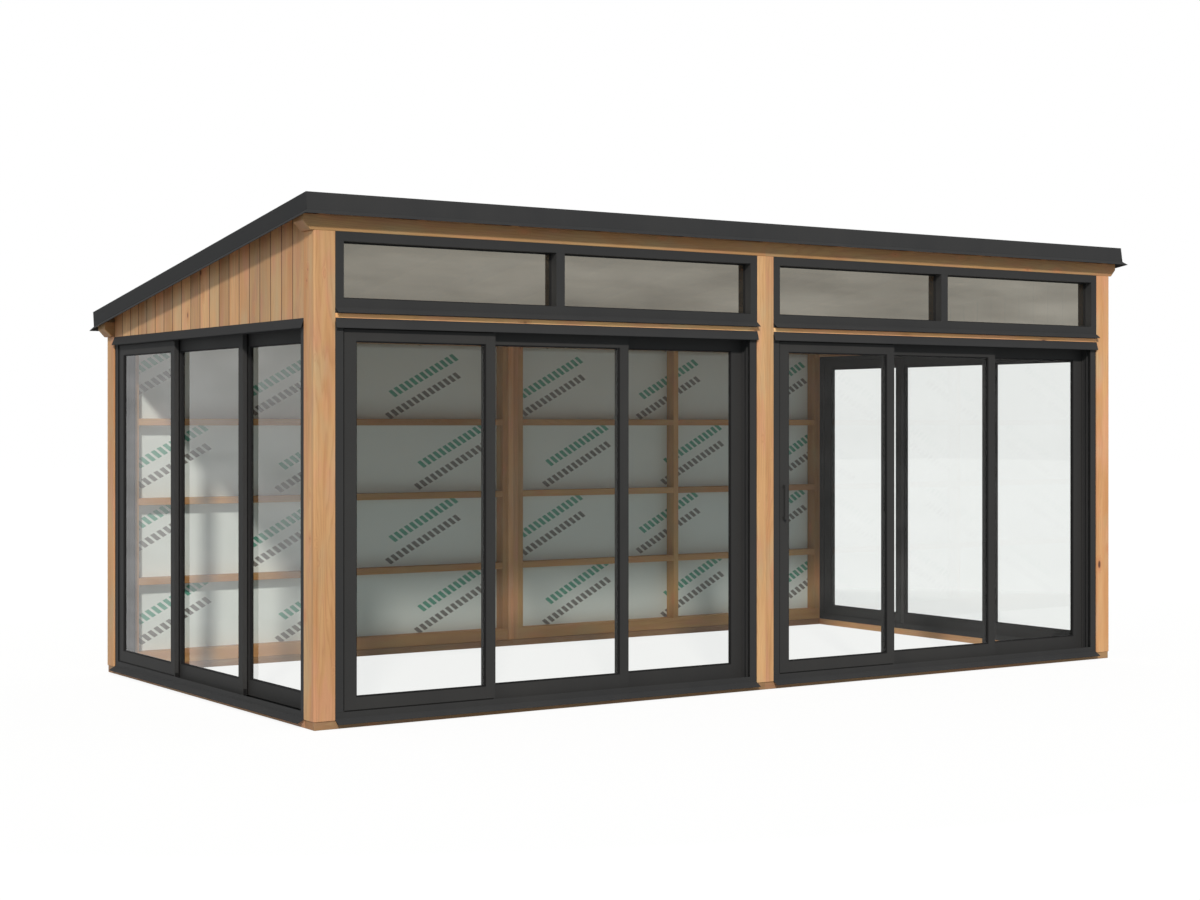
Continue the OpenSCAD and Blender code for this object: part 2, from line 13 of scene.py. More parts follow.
# %% Open the frame
import json
import math
import bpy
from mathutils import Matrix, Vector


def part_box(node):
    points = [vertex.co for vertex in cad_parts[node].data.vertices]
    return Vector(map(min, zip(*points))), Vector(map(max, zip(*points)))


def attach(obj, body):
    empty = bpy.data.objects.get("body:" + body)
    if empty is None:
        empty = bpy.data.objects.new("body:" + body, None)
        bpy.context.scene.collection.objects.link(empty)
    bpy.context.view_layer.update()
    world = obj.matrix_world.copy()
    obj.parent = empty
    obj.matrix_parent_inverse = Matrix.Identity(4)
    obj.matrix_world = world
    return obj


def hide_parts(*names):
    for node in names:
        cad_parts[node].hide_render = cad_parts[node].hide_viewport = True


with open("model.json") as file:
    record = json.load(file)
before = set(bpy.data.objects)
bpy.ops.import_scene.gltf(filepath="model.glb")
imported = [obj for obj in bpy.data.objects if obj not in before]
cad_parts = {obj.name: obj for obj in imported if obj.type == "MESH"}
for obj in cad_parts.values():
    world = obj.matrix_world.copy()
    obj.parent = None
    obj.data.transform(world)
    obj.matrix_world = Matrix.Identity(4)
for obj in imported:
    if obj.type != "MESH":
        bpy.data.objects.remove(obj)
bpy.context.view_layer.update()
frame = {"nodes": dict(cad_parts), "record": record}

# %% [markdown]
# ## Small tools for finishes
#
# A finish in Blender is a chain of small steps. Wrapped pictures are one way to feed it, but
# they have to be unwrapped piece by piece. Here every finish is worked out from the position of
# a point in the building, in metres, so the grain of a post is as coarse as a real post's and
# needs no unwrapping. The first four helpers put steps into a recipe: one fills an input, one
# adds a step, and two do arithmetic, on numbers and on positions.

# %% Steps and arithmetic
def feed(tree, value, socket):
    """Fills an input with a number, a position, a colour or the output of another step."""
    if isinstance(value, bpy.types.NodeSocket):
        tree.links.new(value, socket)
    elif isinstance(value, tuple) and len(value) < len(socket.default_value):
        socket.default_value = (*value, 1)
    else:
        socket.default_value = value


def put(tree, kind, settings=(), **inputs):
    """Adds one step to a recipe."""
    step = tree.nodes.new("ShaderNode" + kind)
    for key, value in dict(settings).items():
        setattr(step, key, value)
    for key, value in inputs.items():
        feed(tree, value, step.inputs[key.replace("_", " ")])
    return step


def calc(tree, operation, *values, clamp=False):
    """One line of arithmetic on numbers."""
    step = put(tree, "Math", {"operation": operation, "use_clamp": clamp})
    for socket, value in zip(step.inputs, values):
        feed(tree, value, socket)
    return step.outputs[0]


def calc3(tree, operation, *values):
    """One line of arithmetic on positions."""
    step = put(tree, "VectorMath", {"operation": operation})
    for socket, value in zip(step.inputs, values):
        feed(tree, value, socket)
    return step.outputs["Value" if operation in ("DOT_PRODUCT", "LENGTH") else "Vector"]


print("tools for one step:", [tool.__name__ for tool in (feed, put, calc, calc3)])

# %% [markdown]
# The next helpers are the words that the recipes are written in: mix two colours, turn a number
# into a grey level, draw soft random clouds, take a position apart and put it together.

# %% Mixing, clouds and positions
def blend(tree, share, first, second, how="MIX"):
    """Two colours, mixed by a share from 0 to 1."""
    step = put(tree, "Mix", {"data_type": "RGBA", "blend_type": how})
    for place, value in ((0, share), (6, first), (7, second)):
        feed(tree, value, step.inputs[place])
    return step.outputs[2]


def stops(tree, value, *pairs):
    """Turns a number into a grey level through (place, level) stops."""
    step = put(tree, "ValToRGB", Fac=value)
    band = step.color_ramp.elements
    while len(band) < len(pairs):
        band.new(0.5)
    for element, (place, level) in zip(band, pairs):
        element.position = place
        element.color = (level, level, level, 1)
    return step.outputs["Color"]


def noise(tree, where, fineness, detail=3.0, rough=0.55):
    """Soft random clouds. fineness is how many fit in a metre: one number, or one per axis."""
    if isinstance(fineness, tuple):
        where, fineness = calc3(tree, "MULTIPLY", where, fineness), 1.0
    return put(tree, "TexNoise", Vector=where, Scale=fineness, Detail=detail,
               Roughness=rough).outputs["Fac"]


def here(tree):
    """The position of the point that is being painted, in metres."""
    return put(tree, "TexCoord").outputs["Object"]


def split(tree, where):
    return put(tree, "SeparateXYZ", Vector=where).outputs[:]


def gather(tree, a, b, c):
    return put(tree, "CombineXYZ", X=a, Y=b, Z=c).outputs[0]


print("words of a recipe:",
      [tool.__name__ for tool in (blend, stops, noise, here, split, gather)])

# %% [markdown]
# Every recipe opens and closes in the same way. It starts as an empty material with Blender's
# all-round surface shader in it, and ends by laying a colour, a roughness and a relief on that
# shader. The relief only tilts the light, so it serves for fibres and grit, and never for a
# form that shows in outline.

# %% Opening and closing a recipe
def new_finish(name):
    """An empty recipe: the material, its tree and its surface shader."""
    made = bpy.data.materials.new(name)
    made.use_nodes = True
    tree = made.node_tree
    return made, tree, tree.nodes["Principled BSDF"]


def relief(tree, height, strength, distance, under=None):
    """Tilts the light as small bumps would. under is a finer relief that lies beneath."""
    step = put(tree, "Bump", Height=height, Strength=strength, Distance=distance)
    if under is not None:
        tree.links.new(under, step.inputs["Normal"])
    return step.outputs[0]


def lay_on(tree, skin, colour, rough, bumps=None, gloss=0.5):
    """Joins a recipe to the surface. gloss is the same all over, so the shader holds it."""
    feed(tree, colour, skin.inputs["Base Color"])
    feed(tree, rough, skin.inputs["Roughness"])
    if bumps is not None:
        tree.links.new(bumps, skin.inputs["Normal"])
    skin.inputs["Specular IOR Level"].default_value = gloss


def told(made):
    """Prints how many steps a recipe took, and hands it on."""
    print(made.name, "is a recipe of", len(made.node_tree.nodes), "steps")
    return made


print("tools for a whole finish:", [tool.__name__ for tool in (new_finish, relief, lay_on, told)])

# %% [markdown]
# ## Softwood
#
# The posts, plates and boards are planed spruce with a light oil. A sawn face shows three
# things at once. Growth rings come out as fine lines along the grain, with a hard dark edge
# where each summer ended. Broad streaks, one to three fingers wide, drift from straw to a
# pinkish orange. Knots are small dark ovals, and the lines part round them.
#
# Each stick of timber comes from its own tree. Space is cut into cells that hold one stick
# each, and three numbers drawn for the cell shift the rings, the streaks and the tone. That is
# less work than one finish for each stick, and it gives the same wood every time.

# %% One stick, one tree
SIDE_SHIFT = 37.0


def stick_cells(tree, place, side, cell, start):
    """Cuts space into cells of one size. Gives a point's place, counted in cells, and three
    numbers from 0 to 1 that are drawn for its cell. side keeps left and right apart."""
    cells = calc3(tree, "DIVIDE", calc3(tree, "SUBTRACT", place, start), cell)
    shift = gather(tree, calc(tree, "MULTIPLY", side, SIDE_SHIFT), 0.3, 0.1)
    index = calc3(tree, "ADD", calc3(tree, "FLOOR", cells), shift)
    return cells, put(tree, "TexWhiteNoise", Vector=index).outputs["Color"]


print("cell numbers shift by", SIDE_SHIFT, "to either side of the middle")

# %% [markdown]
# A knot is a branch that the saw cut through. Points are scattered through the tree, about nine
# to a metre across it and four along it. Half of them are taken, each with its own reach, and a
# wider halo of reddish wood surrounds each one.

# %% Knots
KNOT_SPREAD = (9.0, 9.0, 4.2)
KNOTS_TAKEN = 0.5
KNOT_REACH = 0.28


def knots_in(tree, moved, knots):
    """How deep a point lies in a knot, how deep in its halo, and whether a knot is there."""
    spots = put(tree, "TexVoronoi", {"voronoi_dimensions": "3D"}, Scale=1.0,
                Vector=calc3(tree, "MULTIPLY", moved, KNOT_SPREAD))
    lot = split(tree, spots.outputs["Color"])[0]
    reach = calc(tree, "MULTIPLY", calc(tree, "SUBTRACT", lot, KNOTS_TAKEN, clamp=True),
                 KNOT_REACH * knots)
    depth = calc(tree, "SUBTRACT", reach, spots.outputs["Distance"])
    knot = calc(tree, "MULTIPLY", depth, 24.0, clamp=True)
    halo = calc(tree, "MULTIPLY_ADD", depth, 5.5, 0.95, clamp=True)
    return knot, halo, calc(tree, "GREATER_THAN", reach, 0.001)


widest = 2 * KNOT_REACH * (1 - KNOTS_TAKEN) / KNOT_SPREAD[0]
print("the widest knot is", round(1000 * widest), "mm across")

# %% [markdown]
# Rings could be drawn as circles round the heart of the tree, but then every board would need
# its own centre. Here they are level lines of a smooth field that is stretched along the grain,
# as a cut through a real trunk is, so one recipe gives lines on the long faces and arcs on the
# sawn ends. The field leans another way in each stick, and rises towards a knot.

# %% Growth rings
LEAN_RINGS = 230.0  # rings per metre, times the lean of the stick


def growth_rings(tree, log, moved, lean_u, lean_v, halo):
    """1 on the dark line where a summer ended, 0 in the pale wood of spring."""
    slow = noise(tree, moved, (3.6, 3.6, 0.42), 2.0, 0.4)
    ripple = noise(tree, moved, (26.0, 26.0, 2.4), 2.0)
    lean = calc3(tree, "SUBTRACT", gather(tree, lean_u, lean_v, 0.5), (0.5, 0.5, 0.5))
    field = calc(tree, "MULTIPLY", calc3(tree, "DOT_PRODUCT", log, lean), LEAN_RINGS)
    for part, weight in ((slow, 26.0), (ripple, 2.4), (halo, 3.0)):
        field = calc(tree, "MULTIPLY_ADD", part, weight, field)
    year = calc(tree, "FRACT", field)
    return stops(tree, year, (0.0, 0.10), (0.45, 0.0), (0.86, 1.0), (0.97, 0.25))


print("at the full lean of a half, rings stand", round(2000 / LEAN_RINGS, 1), "mm apart")

# %% [markdown]
# The colour is laid on in the order that wood gets it. Straw and ruddy streaks come first, then
# blushes of pink and a greener sap, then the summer lines. Tone follows: each stick has its
# own, slow clouds drift through it, and the fibres give a fine grain.

# %% Colour of the wood
STRAW, RUDDY = (0.70, 0.425, 0.205), (0.58, 0.290, 0.125)
BLUSH, SAP = (0.66, 0.33, 0.19), (0.56, 0.425, 0.245)
SUMMER, SUMMER_SHARE = (0.36, 0.155, 0.058), 0.27
KNOT, HALO = (0.13, 0.050, 0.024), (0.60, 0.235, 0.105)


def wood_colour(tree, moved, summer, lean_u, vary):
    """Streaks, blushes, sap and summer lines."""
    streak = stops(tree, noise(tree, moved, (17.0, 17.0, 0.8), 4.0), (0.34, 0.0), (0.66, 1.0))
    streak = calc(tree, "MULTIPLY_ADD", calc(tree, "SUBTRACT", lean_u, 0.5), 2.6 * vary, streak,
                  clamp=True)
    blush = stops(tree, noise(tree, moved, (13.0, 13.0, 3.2)), (0.47, 0.0), (0.66, 0.75))
    green = stops(tree, noise(tree, moved, (7.0, 7.0, 2.1)), (0.50, 0.0), (0.70, 0.60))
    colour = blend(tree, blush, blend(tree, streak, STRAW, RUDDY), BLUSH)
    colour = blend(tree, green, colour, SAP)
    return blend(tree, calc(tree, "MULTIPLY", summer, SUMMER_SHARE), colour, SUMMER)


def wood_tone(tree, moved, tone, fibre, vary, shade, painted_light_blue):
    """How light a point is, as a colour to multiply with."""
    cloud = noise(tree, moved, (4.0, 4.0, 1.3))
    level = calc(tree, "MULTIPLY_ADD", tone, vary * shade, (1.0 - vary) * shade)
    for part, weight, mean in ((cloud, 0.34, 0.04), (fibre, 0.16, 0.08)):
        level = calc(tree, "MULTIPLY_ADD", part, weight, calc(tree, "SUBTRACT", level, mean))
    # painted shade: the last factor paints the wood yellower for groups that stand in the shade
    return gather(tree, level, level, calc(tree, "MULTIPLY", level, painted_light_blue))


print("straw", STRAW, "drifts to", RUDDY)

# %% [markdown]
# Boards meet at a tongue and groove. The groove could be cut into the solids, but at two
# millimetres wide it shows only as a dark line, where the tongue lies in shadow and dust
# settles. So the recipe paints a thin dark line at each board's edge, painted shade of the
# groove together with its dust, and dents it.

# %% Softwood, put together
GROOVE_SHADE_AND_DUST, GROOVE_TONE = (0.045, 0.024, 0.012), 0.94
TREES_APART = (9.0, 9.0, 9.0)


def softwood(name, grain, cell, start, turn=0.0, mirror=False, groove=None, knots=1.1,
             vary=0.26, shade=1.0, painted_light_blue=1.0):
    """Planed softwood with its fibres along one axis: 'X', 'Y' or 'Z'. cell is the size of the
    space that holds one stick, start is where the first cell begins. turn tilts the cells with
    the roof, and mirror repeats them on the other side of the middle. groove names the axis
    across the boards, 0 for X or 1 for Y, and the share of a board that its groove takes. vary
    is how far sticks differ in tone and redness. shade is how light they are: a real tone for
    some groups, and painted light or painted shade for others. The last argument, under 1,
    paints the wood yellower, as part of that painted light or shade."""
    made, tree, skin = new_finish(name)
    where = here(tree)
    if turn:
        where = put(tree, "Mapping", Vector=where, Rotation=(turn, 0, 0)).outputs[0]
    x, y, z = split(tree, where)
    side = calc(tree, "SIGN", x)
    if mirror:
        x = calc(tree, "ABSOLUTE", x)
    cells, drawn = stick_cells(tree, gather(tree, x, y, z), side, cell, start)
    lean_u, lean_v, tone = split(tree, drawn)
    log = gather(tree, *{"X": (y, z, x), "Y": (x, z, y), "Z": (x, y, z)}[grain])
    moved = calc3(tree, "ADD", log, calc3(tree, "MULTIPLY", drawn, TREES_APART))

    knot, halo, knot_here = knots_in(tree, moved, knots)
    summer = growth_rings(tree, log, moved, lean_u, lean_v, halo)
    fibre = noise(tree, moved, (420.0, 420.0, 9.0), 2.0)
    colour = blend(tree, 1.0, wood_colour(tree, moved, summer, lean_u, vary),
                   wood_tone(tree, moved, tone, fibre, vary, shade, painted_light_blue), "MULTIPLY")
    colour = blend(tree, calc(tree, "MULTIPLY", halo, knot_here), colour,
                   blend(tree, 0.55, colour, HALO))
    colour = blend(tree, knot, colour, KNOT)
    height = calc(tree, "MULTIPLY_ADD", fibre, 0.35, calc(tree, "MULTIPLY", summer, 0.65))

    if groove:
        axis, share = groove
        place = split(tree, calc3(tree, "FRACTION", cells))[axis]
        edge = calc(tree, "ABSOLUTE", calc(tree, "SUBTRACT", place, 0.5))
        dark = calc(tree, "MULTIPLY", calc(tree, "SUBTRACT", edge, 0.5 - share), 1.6 / share,
                    clamp=True)
        # painted shade: the dark line stands for the groove's shadow, together with the dust in
        # it
        colour = blend(tree, calc(tree, "MULTIPLY", dark, GROOVE_TONE), colour, GROOVE_SHADE_AND_DUST)
        height = calc(tree, "SUBTRACT", height, calc(tree, "MULTIPLY", dark, 3.0))
    rough = calc(tree, "MULTIPLY_ADD", summer, -0.12, 0.62)
    lay_on(tree, skin, colour, rough, relief(tree, height, 0.35, 0.0006), 0.35)
    return told(made)


# %% [markdown]
# ## Powder coat and sheet
#
# Door frames, sashes and top lights are hollow aluminium with a fine matt powder coat in
# anthracite. The coat has a tight orange peel, under a millimetre across, and picks up faint
# clouds of dust. The folded trim and flashings are coated steel, smoother, a shade cooler, and
# never quite flat. One recipe serves all three, because only its numbers differ. Paint isn't
# bare metal, so the shader stays a plain coat with very little gloss.

# %% Coated metals
DUST, GRIT = (0.13, 0.125, 0.115), (0.06, 0.06, 0.063)


def coated(name, colour, rough, peel, wave, gloss):
    """A coat on metal. peel is the strength of its fine relief, wave of the sheet's slow one."""
    made, tree, skin = new_finish(name)
    where = here(tree)
    grit = noise(tree, where, 900.0, 2.0)
    dust = noise(tree, where, (1.6, 1.6, 0.7), 5.0, 0.65)
    dusty = stops(tree, dust, (0.38, 0.0), (0.75, 1.0))
    tint = blend(tree, calc(tree, "MULTIPLY", dusty, 0.10), colour, DUST)
    tint = blend(tree, calc(tree, "MULTIPLY", grit, 0.10), tint, GRIT)
    fine = relief(tree, grit, peel, 0.0002)
    broad = relief(tree, noise(tree, where, 2.3, 1.0), wave, 0.004, under=fine)
    lay_on(tree, skin, tint, calc(tree, "MULTIPLY_ADD", dusty, 0.14, rough), broad, gloss)
    return told(made)


frame_coat = coated("frame_powder_coat", (0.0405, 0.0416, 0.0434), 0.48, 0.5, 0.05, 0.04)
sash_coat = coated("sash_powder_coat", (0.0408, 0.0413, 0.0422), 0.50, 0.5, 0.05, 0.04)
trim_coat = coated("trim_sheet_coat", (0.0428, 0.0440, 0.0465), 0.60, 0.25, 0.35, 0.02)

# %% [markdown]
# ## Roof felt
#
# The roof covering is mineral felt: dark slate grit on bitumen, laid in strips a metre wide
# that overlap. Millions of real grains would be far too much to model, so small cells of random
# tone stand for them, and a thin dark line with a step in the relief stands for each lap.

# %% Mineral felt
GRAINS_PER_METRE = 420.0
LAP_SHARE = 0.012


def mineral_felt(name):
    made, tree, skin = new_finish(name)
    where = here(tree)
    x = split(tree, where)[0]
    grit = put(tree, "TexVoronoi", Vector=where, Scale=GRAINS_PER_METRE)
    grain = split(tree, grit.outputs["Color"])[0]
    strip = calc(tree, "FRACT", calc(tree, "ADD", x, 30.0))
    lap = calc(tree, "LESS_THAN", strip, LAP_SHARE)
    tint = blend(tree, grain, (0.022, 0.023, 0.026), (0.075, 0.077, 0.082))
    patch = calc(tree, "MULTIPLY", noise(tree, where, 1.3, 4.0), 0.35)
    tint = blend(tree, patch, tint, (0.045, 0.045, 0.046))
    tint = blend(tree, calc(tree, "MULTIPLY", lap, 0.7), tint, (0.008, 0.008, 0.009))
    height = calc(tree, "MULTIPLY_ADD", lap, -2.0, grit.outputs["Distance"])
    lay_on(tree, skin, tint, calc(tree, "MULTIPLY_ADD", grain, 0.15, 0.8),
           relief(tree, height, 0.6, 0.002))
    return told(made)


felt = mineral_felt("roof_felt")

# %% [markdown]
# ## Rubber
#
# Glazing beads and plugs are black rubber, and the brushes are black pile. Both drink the light,
# so they are almost black and hardly shine. Wear shows as slightly greyer clouds.

# %% Rubber and pile
def rubber(name, colour):
    made, tree, skin = new_finish(name)
    worn = noise(tree, here(tree), 60.0)
    tint = blend(tree, calc(tree, "MULTIPLY", worn, 0.5), colour, (0.022, 0.022, 0.022))
    lay_on(tree, skin, tint, calc(tree, "MULTIPLY_ADD", worn, 0.2, 0.55), gloss=0.08)
    return told(made)


black_rubber = rubber("black_rubber", (0.012, 0.012, 0.013))
brush_pile = rubber("brush_pile", (0.006, 0.006, 0.006))

# %% [markdown]
# ## Glass
#
# A pane mirrors more the flatter the eye meets it, and lets the rest through with a trace of
# green from the iron in the glass. A solid glass shader would bend the light twice and cast a
# dark shadow, so two plain shaders share the pane by Fresnel's law: one clear, one a mirror.
# Light passes straight through, so the sun reaches the floor and the back wall. A slow swirl
# makes the mirror uneven, a painted reflection that stands in for clouds mirrored in the pane,
# and dust lies on the pane as a thin veil. The same glass mirrors more on the end doors than
# on the front, as painted reflection of brighter surroundings. The panes of the top lights are
# tinted dark and mirror the most, with a cream tint on the mirror as painted reflection of a
# bright sky.

# %% Panes
WIPE_MARKS, DUST_VEIL = (0.78, 0.80, 0.78), (0.55, 0.56, 0.54)
GLASS_BENDS = 1.52


def pane_glass(name, tint, veil, mirror, sheen=(1.0, 1.0, 1.0), sun=0.93):
    """tint is what the eye sees through the pane, and sun is what a sunbeam keeps of itself.
    mirror makes the reflection stronger or weaker, and sheen gives it a colour."""
    made, tree, skin = new_finish(name)
    tree.nodes.remove(skin)
    where = here(tree)
    film = noise(tree, where, (2.2, 2.2, 1.3), 5.0, 0.6)
    # painted reflection: this swirl varies the mirror as clouds mirrored in the pane would
    cloud_reflection_swirl = noise(tree, where, (0.9, 0.9, 5.5))
    entering = calc(tree, "SUBTRACT", 1.0, put(tree, "NewGeometry").outputs["Backfacing"])

    clear = blend(tree, calc(tree, "MULTIPLY", film, 0.10), tint, WIPE_MARKS)
    clear = blend(tree, put(tree, "LightPath").outputs["Is Shadow Ray"], clear, (sun, sun, sun))
    clear = blend(tree, entering, (1.0, 1.0, 1.0), clear)
    through = put(tree, "BsdfTransparent", Color=clear)
    shine = put(tree, "BsdfAnisotropic", Color=sheen, Roughness=0.0)
    share = calc(tree, "MULTIPLY", put(tree, "Fresnel", IOR=GLASS_BENDS).outputs[0],
                 calc(tree, "MULTIPLY_ADD", cloud_reflection_swirl, 1.1 * mirror, 0.45 * mirror), clamp=True)
    sheet = put(tree, "MixShader", Fac=calc(tree, "MULTIPLY", share, entering))
    haze = put(tree, "BsdfDiffuse", Color=DUST_VEIL)
    dust = calc(tree, "MULTIPLY", stops(tree, film, (0.35, 0.35), (0.75, 1.0)), veil)
    whole = put(tree, "MixShader", Fac=calc(tree, "MULTIPLY", dust, entering))
    for first, second, mixed in ((through, shine, sheet), (sheet, haze, whole)):
        tree.links.new(first.outputs[0], mixed.inputs[1])
        tree.links.new(second.outputs[0], mixed.inputs[2])
    tree.links.new(whole.outputs[0], tree.nodes["Material Output"].inputs["Surface"])
    return told(made)


# door and end glass are one glass; the end doors' stronger mirror and the top lights' strong
# cream mirror are painted reflection
door_glass = pane_glass("door_glass", (0.918, 0.932, 0.922), 0.01, 0.40)
end_glass = pane_glass("end_door_glass", (0.925, 0.935, 0.925), 0.01, 1.15)
top_glass = pane_glass("top_light_glass", (0.08, 0.085, 0.075), 0.05, 4.6,
                       sheen=(1.0, 0.95, 0.81), sun=0.62)

# %% [markdown]
# ## Give every solid its finish
#
# A stick's fibres run along its length, so each group of timbers names its own axis. The cells
# have to fall between the sticks and never across one, so they are measured from the solids:
# the width of a gable board, the width of a back board and the slope of the roof.

# %% Measure the boards
BOARDS_ON_A_GABLE, BACK_BOARDS_IN_A_BAY = 20, 21
REAR_POST_HALF, DECK_THICK = 0.0413, 0.018
gable_low, gable_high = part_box("left_gable")
gable_pitch = (gable_high[1] - gable_low[1]) / BOARDS_ON_A_GABLE
back_pitch = (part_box("back_boards")[1][0] - REAR_POST_HALF) / BACK_BOARDS_IN_A_BAY
deck_low, deck_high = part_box("roof_deck")
slope = math.atan2(deck_high[2] - deck_low[2] - DECK_THICK, deck_high[1] - deck_low[1])
print("gable board", round(gable_pitch, 4), "back board", round(back_pitch, 4),
      "roof slope", round(math.degrees(slope), 2))

# %% [markdown]
# Posts, plates, rails and rafters are sticks of the same spruce. One finish could serve them
# all, but each group has a shade of its own, and for several groups it is painted light. The
# headers, where little light gets under the eaves, are painted the palest, to make up for the
# light they miss. Plates, rails, studs and noggins are painted darker and yellower, as painted
# shade, and the sills on the ground the darkest.

# %% Timber
WHOLE = 40.0  # a cell side long enough to hold the whole building
RAFTER_STEP, NOGGIN_STEP = 0.592, 0.518
POST_CELL, PLATE_CELL, RAIL_CELL = (1.6, 1.6, WHOLE), (WHOLE, 1.6, 0.9), (3.0, 1.6, 0.4)
POST_START, PLATE_START, RAIL_START = (0.7, 0.1, -245.0), (-20.0, 0.1, 0.0), (0.02, 0.1, 0.0)
post_wood = softwood("post_wood", "Z", POST_CELL, POST_START, shade=1.04)
# painted light: studs, plates, sills, rails and noggins are painted darker and yellower as
# painted shade, and the headers painted paler
stud_wood = softwood("stud_wood", "Z", (0.7, WHOLE, WHOLE), (0.3, -20.0, -5.0),
                     shade=0.77, painted_light_blue=0.82)
plate_wood = softwood("plate_wood", "X", PLATE_CELL, PLATE_START, shade=0.67, painted_light_blue=0.90)
sole_wood = softwood("sole_wood", "X", PLATE_CELL, PLATE_START, shade=0.48)
rail_wood = softwood("rail_wood", "X", RAIL_CELL, RAIL_START, shade=0.88, painted_light_blue=0.85)
header_wood = softwood("header_wood", "X", RAIL_CELL, RAIL_START, shade=1.7, painted_light_blue=0.93)
noggin_wood = softwood("noggin_wood", "X", (1.44, WHOLE, NOGGIN_STEP), (0.0, -20.0, 0.33),
                       shade=0.72, painted_light_blue=0.80)
end_wood = softwood("end_beam_wood", "Y", (3.0, WHOLE, 1.0), (0.0, -20.0, -0.2))
rafter_wood = softwood("rafter_wood", "Y", (RAFTER_STEP, WHOLE, WHOLE), (-3.25, -20.0, -20.0),
                       turn=slope)

# %% [markdown]
# The gables and the back wall are clad with narrow boards, and the roof deck is laid of them.
# The boards are more mixed in tone than the posts, as they come from many trees, and those of
# the gables have more knots. On the back wall they are set out from the middle post to both
# sides, so the cells are mirrored there.

# %% Boards
gable_wood = softwood("gable_board_wood", "Z", (1.5, gable_pitch, WHOLE),
                      (0.7, gable_low[1], -5.0), groove=(1, 0.045), knots=1.25, vary=0.40,
                      shade=1.07)
back_wood = softwood("back_board_wood", "Z", (back_pitch, WHOLE, WHOLE),
                     (REAR_POST_HALF, -20.0, -5.0), mirror=True, groove=(0, 0.045), vary=0.40)
deck_wood = softwood("deck_board_wood", "X", (2.4, 0.121, WHOLE), (0.4, -1.6, -20.0),
                     turn=slope, groove=(1, 0.02))
print("boards in a gable:", BOARDS_ON_A_GABLE, "in a bay of the back:", BACK_BOARDS_IN_A_BAY)

# %% [markdown]
# The solids carry a note of what they are made of. Timber is looked up by name, because each
# group has its own wood, and everything else by that note. The finish sits on the object and
# not on its mesh, so the measured solid itself stays as it was.

# %% Hand out the finishes
TIMBER_OF = {
    "front_posts": post_wood, "rear_posts": post_wood, "back_studs": stud_wood,
    "front_plate": plate_wood, "rear_plate": plate_wood, "sills_long": sole_wood,
    "front_headers": header_wood, "back_rails": rail_wood, "back_noggins": noggin_wood,
    "eave_boards": plate_wood, "sills_end": end_wood, "end_headers": end_wood,
    "verge_boards": rafter_wood, "rafters": rafter_wood, "roof_deck": deck_wood,
    "left_gable": gable_wood, "right_gable": gable_wood, "back_boards": back_wood,
}
FINISH_OF = {"trim_metal": trim_coat, "frame_metal": frame_coat, "sash_metal": sash_coat,
             "roof_felt": felt, "glass": end_glass}
dressed = 0
for row in frame["record"]["subparts"]:
    name = row["node"]
    finish = TIMBER_OF.get(name) or FINISH_OF.get(row["material_slot"])
    if name == "toplight_panes":
        finish = top_glass
    elif finish is end_glass and name.startswith("front"):
        finish = door_glass
    if finish:
        dressed += 1
        for slot in frame["nodes"][name].material_slots:
            slot.link = "OBJECT"
            slot.material = finish
print("solids with a finish:", dressed, "of", len(frame["nodes"]))

# %% [markdown]
# ## Eased edges
#
# A planer takes the arris off every timber and an aluminium extrusion has a small radius on
# each corner. The solids have knife edges, so a weld joins their faces and a bevel eases them:
# three millimetres on timber, just over one on the sashes. Modifiers do it, so the widths can
# be changed at any time. The boards keep their edges, since their grooves are in the finish.

# %% Ease the edges
ARRIS, SASH_RADIUS, SAME_POINT = 0.003, 0.0012, 0.00005
BOARDS = ("left_gable", "right_gable", "back_boards", "roof_deck")


def ease(thing, width, steps):
    weld = thing.modifiers.new("join_faces", "WELD")
    weld.merge_threshold = SAME_POINT
    soft = thing.modifiers.new("ease_edges", "BEVEL")
    soft.width = width
    soft.segments = steps
    soft.limit_method = "ANGLE"
    soft.angle_limit = math.radians(35)
    soft.harden_normals = False


sticks = [name for name in TIMBER_OF if name not in BOARDS]
sashes = [name for name in frame["nodes"] if name.endswith("_sash")]
for names, width, steps in ((sticks, ARRIS, 2), (sashes, SASH_RADIUS, 1)):
    for name in names:
        ease(frame["nodes"][name], width, steps)
print("timbers with eased edges:", len(sticks), "sashes:", len(sashes))

# %% [markdown]
# ## Beads round the glass
#
# Black rubber beads hold each pane. Seen from outside they draw the thin dark line between
# metal and glass. They are extruded to one profile and mitred at the corners. A curve with a
# bevel could make that too, but its corners are hard to keep sharp, so here the points are
# worked out: one profile goes round the four corners of the opening, high where it meets the
# sash and falling to the glass.

# %% Tools for small pieces
UNITS = ("front_left", "front_right", "left", "right")


def corners(name):
    """The lowest and the highest corner of a solid's box."""
    return [Vector(corner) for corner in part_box(name)]


def axes(unit):
    """The axis that a unit's sashes slide along, and the axis through their glass."""
    return (0, 1) if unit.startswith("front") else (1, 0)


def mesh_piece(name, points, faces, material, body, slot):
    mesh = bpy.data.meshes.new(name)
    mesh.from_pydata([tuple(p) for p in points], [], faces)
    mesh.validate()
    mesh.update()
    piece = bpy.data.objects.new(name, mesh)
    bpy.context.scene.collection.objects.link(piece)
    mesh.materials.append(material)
    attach(piece, body)
    return piece


for unit in UNITS:
    print(unit, "doors slide along", "XY"[axes(unit)[0]], "and are glazed across",
          "XY"[axes(unit)[1]])

# %% [markdown]
# The profile of a bead is four points: it stands against the sash, has a short flat top, leans
# over and ends in a soft lip on the glass. Each of the four points is set at all four corners
# of the opening before the next one follows. Faces then join each ring of four to the next, and
# the mitres come out of it by themselves.

